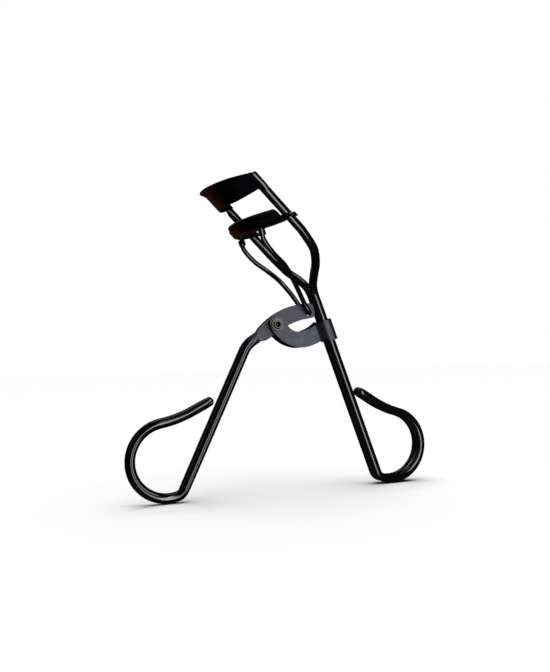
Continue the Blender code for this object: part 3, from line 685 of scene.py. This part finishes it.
def build_moving_handle(group, cutters, mat):
    """The moving handle: a round wire with a finger loop, forged flat into a lever past the neck."""
    pen = Pen(NECK_POINT, -NECK_LEAN)
    neck_marks = 5 * FINE
    for _ in range(neck_marks):
        pen.line(NECK_LENGTH / neck_marks)
    pen.arc(NECK_BEND_R, NECK_LEAN - MOVING_LEAN, 5)
    straight = leg_length(pen.points[-1], pen.lean, -1, HANDLE_R * 0.96)
    straight_marks = 3
    for _ in range(straight_marks):
        pen.line(straight / straight_marks)
    leg_end = len(pen.points)
    finger_loop(pen, -1)
    heading = pen.heading()
    tip = pen.points[-1]
    rounding = (ROUNDED_END - 0.75 * MM, ROUNDED_END - 0.25 * MM, ROUNDED_END)
    pen.points += [tip + heading * reach for reach in rounding]
    radii = [1.07] * (leg_end - 1) + [1.0] + [0.96] * (len(pen.points) - leg_end - 3) + [0.85, 0.55, 0.2]
    handle = as_mesh(wire("moving_handle", pen.points, HANDLE_R, group, radii), group, mat)
    forge_neck(handle)
    lever = as_mesh(outline_solid("lever_blank", [lever_outline()], LEVER_T, group), group)
    combine(handle, lever, "UNION", cutters)
    pivot_hole = cylinder("rivet_hole_lever", RIVET_R + CONTACT, 9 * MM, PIVOT, WIDTH, group)
    combine(handle, pivot_hole, "DIFFERENCE", cutters)
    wire_hole = cylinder("push_wire_hole", WIRE_HOLE_R, 9 * MM, WIRE_HOLE, WIDTH, group)
    combine(handle, wire_hole, "DIFFERENCE", cutters)
    return handle


def forge_neck(item):
    """Flatten the round wire towards the lever's thickness over the last millimetres of the neck."""
    inward = Vector((sin(NECK_LEAN), 0.0, cos(NECK_LEAN)))
    start, length = NECK_POINT - inward * NECK_LENGTH, 3.2 * MM
    thin = (LEVER_T / 2 - 0.08 * MM) / (HANDLE_R * 1.07)
    for vertex in item.data.vertices:
        if vertex.co.z < 46 * MM:
            continue
        amount = min(1.0, max(0.0, (vertex.co - start).dot(inward) / length))
        ease = amount * amount * (3 - 2 * amount)
        vertex.co.y *= 1.0 - ease * (1.0 - thin)


# ---------------------------------------------------------------- finished pieces

def frozen(item):
    """The object with its modifiers applied, as a new mesh."""
    bpy.context.view_layer.update()
    graph = bpy.context.evaluated_depsgraph_get()
    mesh = bpy.data.meshes.new_from_object(item.evaluated_get(graph))
    mesh.transform(item.matrix_world)
    return mesh


def round_edges(item, width, limit=40.0, segments=3):
    """Round an object's sharp edges, and keep its flat faces flat."""
    bevel = item.modifiers.new("Rounded edges", "BEVEL")
    bevel.width = width
    bevel.segments = segments
    bevel.limit_method = "ANGLE"
    bevel.angle_limit = radians(limit)
    bevel.use_clamp_overlap = True
    bevel.miter_outer = "MITER_ARC"
    bevel.harden_normals = False


def show(item, node, body, slot, mat, edge=0.0, limit=40.0):
    """Make a visible piece of the object, which stands for its CAD node and rides on its body."""
    if edge:
        round_edges(item, edge, limit)
    mesh = frozen(item)
    mesh.materials.clear()
    mesh.materials.append(mat)
    bm = bmesh.new()
    bm.from_mesh(mesh)
    bmesh.ops.remove_doubles(bm, verts=bm.verts, dist=0.0005 * MM)
    bmesh.ops.dissolve_degenerate(bm, edges=bm.edges, dist=0.0005 * MM)
    bm.to_mesh(mesh)
    bm.free()
    mesh.shade_smooth()
    mesh.set_sharp_from_angle(angle=radians(30))
    piece = bpy.data.objects.new("shown_" + node, mesh)
    bpy.context.scene.collection.objects.link(piece)
    if edge:
        flats = piece.modifiers.new("Flat faces", "WEIGHTED_NORMAL")
        flats.keep_sharp = True
        flats.weight = 80
    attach(piece, body)
    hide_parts(node)
    return piece


# ---------------------------------------------------------------- materials

class Surface:
    """A Principled material with a few procedural layers, in the object's own metres."""

    def __init__(self, name, roughness, coat=0.0, specular=0.5):
        self.mat = bpy.data.materials.new(name)
        self.mat.use_nodes = True
        self.nodes = self.mat.node_tree.nodes
        self.links = self.mat.node_tree.links
        self.shader = self.nodes["Principled BSDF"]
        self.shader.inputs["Roughness"].default_value = roughness
        self.shader.inputs["Coat Weight"].default_value = coat
        self.shader.inputs["Coat Roughness"].default_value = 0.08
        self.shader.inputs["Specular IOR Level"].default_value = specular
        self.place = self.nodes.new("ShaderNodeTexCoord").outputs["Object"]

    def noise(self, size, detail=3.0):
        """Noise whose features measure about `size`."""
        node = self.nodes.new("ShaderNodeTexNoise")
        node.inputs["Scale"].default_value = 1.0 / size
        node.inputs["Detail"].default_value = detail
        self.links.new(self.place, node.inputs["Vector"])
        return node.outputs["Fac"]

    def span(self, source, low, high, into=None, first=0.3, last=0.7):
        """Map a value from first..last onto low..high."""
        node = self.nodes.new("ShaderNodeMapRange")
        for name, value in (("From Min", first), ("From Max", last), ("To Min", low), ("To Max", high)):
            node.inputs[name].default_value = value
        self.links.new(source, node.inputs["Value"])
        if into:
            self.links.new(node.outputs["Result"], self.shader.inputs[into])
        return node.outputs["Result"]

    def mix(self, factor, first, second):
        """Mix two colours; each is a colour or the output of another node."""
        node = self.nodes.new("ShaderNodeMix")
        node.data_type = "RGBA"
        self.links.new(factor, node.inputs["Factor"])
        for socket, colour in ((node.inputs[6], first), (node.inputs[7], second)):
            if isinstance(colour, tuple):
                socket.default_value = (*colour, 1.0)
            else:
                self.links.new(colour, socket)
        return node.outputs[2]

    def colour(self, source):
        self.links.new(source, self.shader.inputs["Base Color"])

    def bump(self, layers):
        """Stack bumps, each (height source, depth in metres, strength)."""
        normal = None
        for height, depth, strength in layers:
            node = self.nodes.new("ShaderNodeBump")
            node.inputs["Distance"].default_value = depth
            node.inputs["Strength"].default_value = strength
            self.links.new(height, node.inputs["Height"])
            if normal:
                self.links.new(normal, node.inputs["Normal"])
            normal = node.outputs["Normal"]
        self.links.new(normal, self.shader.inputs["Normal"])


def gloss_lacquer(name):
    """Baked gloss-black lacquer on round wire: near black, with a faint orange peel and soft smudges."""
    made = Surface(name, GLOSS_ROUGH, coat=0.35, specular=0.5)
    made.span(made.noise(5.0 * MM), GLOSS_ROUGH - 0.04, GLOSS_ROUGH + 0.05, into="Roughness")
    made.colour(made.mix(made.noise(7.0 * MM), GLOSS_DARK, GLOSS_LIGHT))
    made.bump([(made.noise(2.5 * MM, 1.0), 0.004 * MM, 0.15)])
    return made.mat


def satin_lacquer(name, dark, light, roughness, specular=0.5, sheen=(1.0, 1.0, 1.0)):
    """Satin black lacquer on sheet and forged metal: fine grain and cloudy sheen."""
    made = Surface(name, roughness, specular=specular)
    made.shader.inputs["Specular Tint"].default_value = (*sheen, 1.0)
    made.span(made.noise(2.5 * MM, 4.0), roughness - 0.05, roughness + 0.06, into="Roughness")
    made.colour(made.mix(made.noise(4.0 * MM), dark, light))
    made.bump([(made.noise(0.2 * MM), 0.002 * MM, 0.3), (made.noise(2.4 * MM, 2.0), 0.006 * MM, 0.2)])
    return made.mat


def handle_lacquer(name):
    """Gloss lacquer on the round wire that turns satin over the forged neck and the flat lever."""
    made = Surface(name, GLOSS_ROUGH, specular=0.6)
    split = made.nodes.new("ShaderNodeSeparateXYZ")
    made.links.new(made.place, split.inputs["Vector"])
    forged = made.span(split.outputs["Z"], 0.0, 1.0, first=FORGED_FROM, last=FORGED_TO)
    gloss = made.span(made.noise(5.0 * MM), GLOSS_ROUGH - 0.04, GLOSS_ROUGH + 0.05)
    satin = made.span(made.noise(2.5 * MM, 4.0), 0.38, 0.50)
    blend = made.nodes.new("ShaderNodeMix")
    blend.data_type = "FLOAT"
    made.links.new(forged, blend.inputs["Factor"])
    made.links.new(gloss, blend.inputs[2])
    made.links.new(satin, blend.inputs[3])
    made.links.new(blend.outputs[0], made.shader.inputs["Roughness"])
    round_part = made.mix(made.noise(7.0 * MM), GLOSS_DARK, GLOSS_LIGHT)
    flat_part = made.mix(made.noise(4.0 * MM), SATIN_DARK, SATIN_LIGHT)
    made.colour(made.mix(forged, round_part, flat_part))
    made.bump([(made.noise(2.5 * MM, 1.0), 0.004 * MM, 0.15)])
    return made.mat


def soft_silicone(name):
    """Soft black silicone: a little rough, with fine moulding texture and a trace of dust."""
    made = Surface(name, 0.36, specular=0.5)
    made.span(made.noise(1.5 * MM), 0.30, 0.42, into="Roughness")
    dust = made.span(made.noise(0.5 * MM, 5.0), 0.0, 1.0, first=0.6, last=0.75)
    made.colour(made.mix(dust, (0.008, 0.008, 0.009), (0.018, 0.017, 0.017)))
    made.shader.inputs["Sheen Weight"].default_value = 0.05
    made.bump([(made.noise(0.1 * MM, 3.0), 0.004 * MM, 0.35), (made.noise(2.2 * MM, 1.0), 0.02 * MM, 0.2)])
    return made.mat


def paper_floor():
    made = Surface("floor_paper", 0.9, specular=0.1)
    made.colour(made.mix(made.noise(40 * MM), (0.80, 0.80, 0.80), (0.82, 0.82, 0.82)))
    made.bump([(made.noise(0.6 * MM, 2.0), 0.01 * MM, 0.15)])
    return made.mat


# ---------------------------------------------------------------- studio

def build_camera():
    data = bpy.data.cameras.new("photo_camera")
    data.sensor_width = SENSOR
    data.lens = FOCAL_PIXELS / FRAME_HEIGHT * SENSOR
    data.clip_start, data.clip_end = 0.005, 50.0
    camera = bpy.data.objects.new("photo_camera", data)
    bpy.context.scene.collection.objects.link(camera)
    ahead = Vector((sin(CAMERA_TURN) * cos(CAMERA_RISE),
                    cos(CAMERA_TURN) * cos(CAMERA_RISE), sin(CAMERA_RISE)))
    across = Vector((cos(CAMERA_TURN), -sin(CAMERA_TURN), 0.0))
    upward = across.cross(ahead)
    right = cos(CAMERA_ROLL) * across + sin(CAMERA_ROLL) * upward
    up = cos(CAMERA_ROLL) * upward - sin(CAMERA_ROLL) * across
    turn = Matrix((right, up, -ahead)).transposed()
    camera.matrix_world = Matrix.Translation(CAMERA_PLACE) @ turn.to_4x4()
    bpy.context.scene.camera = camera


def softbox(name, azimuth, height, distance, size, radiance):
    """A rectangular light. Azimuth 0 is in front (-Y), and 90 is at +X."""
    data = bpy.data.lights.new(name, "AREA")
    data.shape = "RECTANGLE"
    data.size, data.size_y = size
    data.energy = radiance * pi * size[0] * size[1]
    lamp = bpy.data.objects.new(name, data)
    bpy.context.scene.collection.objects.link(lamp)
    turn = radians(azimuth)
    place = Vector((sin(turn) * distance, -cos(turn) * distance, height))
    lamp.location = place
    lamp.rotation_euler = (AIM - place).to_track_quat("-Z", "Y").to_euler()
    lamp.visible_camera = False
    return lamp


def build_floor_light():
    """An even overhead light for the floor, whose soft shadows ground the object."""
    data = bpy.data.lights.new("overhead", "SUN")
    data.energy = FLOOR_LIGHT
    data.angle = radians(70.0)
    lamp = bpy.data.objects.new("overhead", data)
    bpy.context.scene.collection.objects.link(lamp)
    return lamp


def linked_group(name, items):
    group = bpy.data.collections.new(name)
    for item in items:
        group.objects.link(item)
    return group


def build_world():
    """White to the camera, and a dark studio with faint glows to the object."""
    world = bpy.data.worlds.new("studio")
    bpy.context.scene.world = world
    world.use_nodes = True
    nodes, links = world.node_tree.nodes, world.node_tree.links
    nodes.clear()
    white = nodes.new("ShaderNodeBackground")
    white.inputs["Strength"].default_value = WORLD_SEEN
    dark = nodes.new("ShaderNodeBackground")
    way = nodes.new("ShaderNodeTexCoord").outputs["Generated"]
    shade = None
    for toward, colour, tight in WORLD_GLOW:
        dot = nodes.new("ShaderNodeVectorMath")
        dot.operation = "DOT_PRODUCT"
        dot.inputs[1].default_value = Vector(toward).normalized()
        links.new(way, dot.inputs[0])
        lobe = nodes.new("ShaderNodeMapRange")
        lobe.interpolation_type = "SMOOTHSTEP"
        lobe.inputs["From Min"].default_value = tight
        lobe.inputs["From Max"].default_value = 1.0
        links.new(dot.outputs["Value"], lobe.inputs["Value"])
        blend = nodes.new("ShaderNodeMix")
        blend.data_type = "RGBA"
        links.new(lobe.outputs["Result"], blend.inputs["Factor"])
        if shade:
            links.new(shade, blend.inputs[6])
        else:
            blend.inputs[6].default_value = (*WORLD_DARK, 1.0)
        blend.inputs[7].default_value = (*colour, 1.0)
        shade = blend.outputs[2]
    links.new(shade, dark.inputs["Color"])
    white.inputs["Color"].default_value = (1.0, 1.0, 1.0, 1.0)
    seen = nodes.new("ShaderNodeMixShader")
    links.new(nodes.new("ShaderNodeLightPath").outputs["Is Camera Ray"], seen.inputs["Fac"])
    links.new(dark.outputs["Background"], seen.inputs[1])
    links.new(white.outputs["Background"], seen.inputs[2])
    output = nodes.new("ShaderNodeOutputWorld")
    links.new(seen.outputs["Shader"], output.inputs["Surface"])


def build_floor():
    bm = bmesh.new()
    bmesh.ops.create_circle(bm, cap_ends=True, segments=96, radius=FLOOR_R)
    floor = mesh_object("floor", bm, bpy.context.scene.collection, paper_floor(), smooth=False)
    if floor.data.polygons[0].normal.z < 0.0:
        floor.data.flip_normals()
    floor.location.z = -FLOOR_DROP
    floor.visible_glossy = floor.visible_diffuse = False
    return floor


def build_studio(pieces):
    build_camera()
    build_world()
    build_floor_light().light_linking.receiver_collection = linked_group("lit_floor", [build_floor()])
    everything = linked_group("lit_all", pieces.values())
    groups = {name: linked_group("lit_" + name, [pieces[node] for node in nodes])
              for name, nodes in LIT.items()}
    for *lamp, lit in LAMPS:
        linking = softbox(*lamp).light_linking
        linking.receiver_collection = groups.get(lit, everything)
        linking.blocker_collection = everything         # the floor casts no shadow on the pieces
    bpy.context.scene.view_settings.view_transform = "Standard"


# ---------------------------------------------------------------- the object

def build_pieces():
    group = new_collection("eyelash_curler")
    cutters = new_collection("cutters")
    shown = {}

    def place(item, node, *arguments):
        shown[node] = show(item, node, *arguments)

    place(build_frame_wire(group, None), "frame_wire", "frame", "frame_lacquer", gloss_lacquer("frame_gloss"))
    place(build_upper_plate(group, None), "upper_plate", "frame", "plate_lacquer",
         satin_lacquer("plate_satin", PLATE_DARK, PLATE_LIGHT, PLATE_ROUGH), EDGE)
    place(build_lower_jaw(group, cutters, None), "lower_jaw", "jaw", "jaw_lacquer",
         satin_lacquer("jaw_satin", PLATE_DARK, PLATE_LIGHT, PLATE_ROUGH), EDGE)
    place(build_pad(group, None), "pad", "jaw", "pad_silicone", soft_silicone("pad_silicone_black"), EDGE)
    place(build_push_wire(group, None), "push_wire", "link", "push_wire_lacquer",
         gloss_lacquer("push_wire_gloss"))
    for label, side in (("near", -1), ("far", 1)):
        place(build_collar(f"collar_{label}_made", side, group, None), f"collar_{label}", "link",
             f"collar_{label}_lacquer", gloss_lacquer(f"collar_{label}_gloss"))
    place(build_bracket(group, cutters, None), "bracket", "frame", "bracket_lacquer",
         satin_lacquer("bracket_satin", SATIN_DARK, SATIN_LIGHT, BRACKET_ROUGH, BRACKET_SPECULAR,
                       SATIN_SHEEN), EDGE)
    place(build_pivot_rivet(group, None), "pivot_rivet", "frame", "rivet_lacquer",
         gloss_lacquer("rivet_gloss"))
    place(build_moving_handle(group, cutters, None), "moving_handle", "handle", "handle_lacquer",
         handle_lacquer("handle_forged"), EDGE)
    for item in [*group.objects, *cutters.objects]:
        bpy.data.objects.remove(item, do_unlink=True)
    return shown


def main():
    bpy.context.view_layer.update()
    build_studio(build_pieces())


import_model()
main()
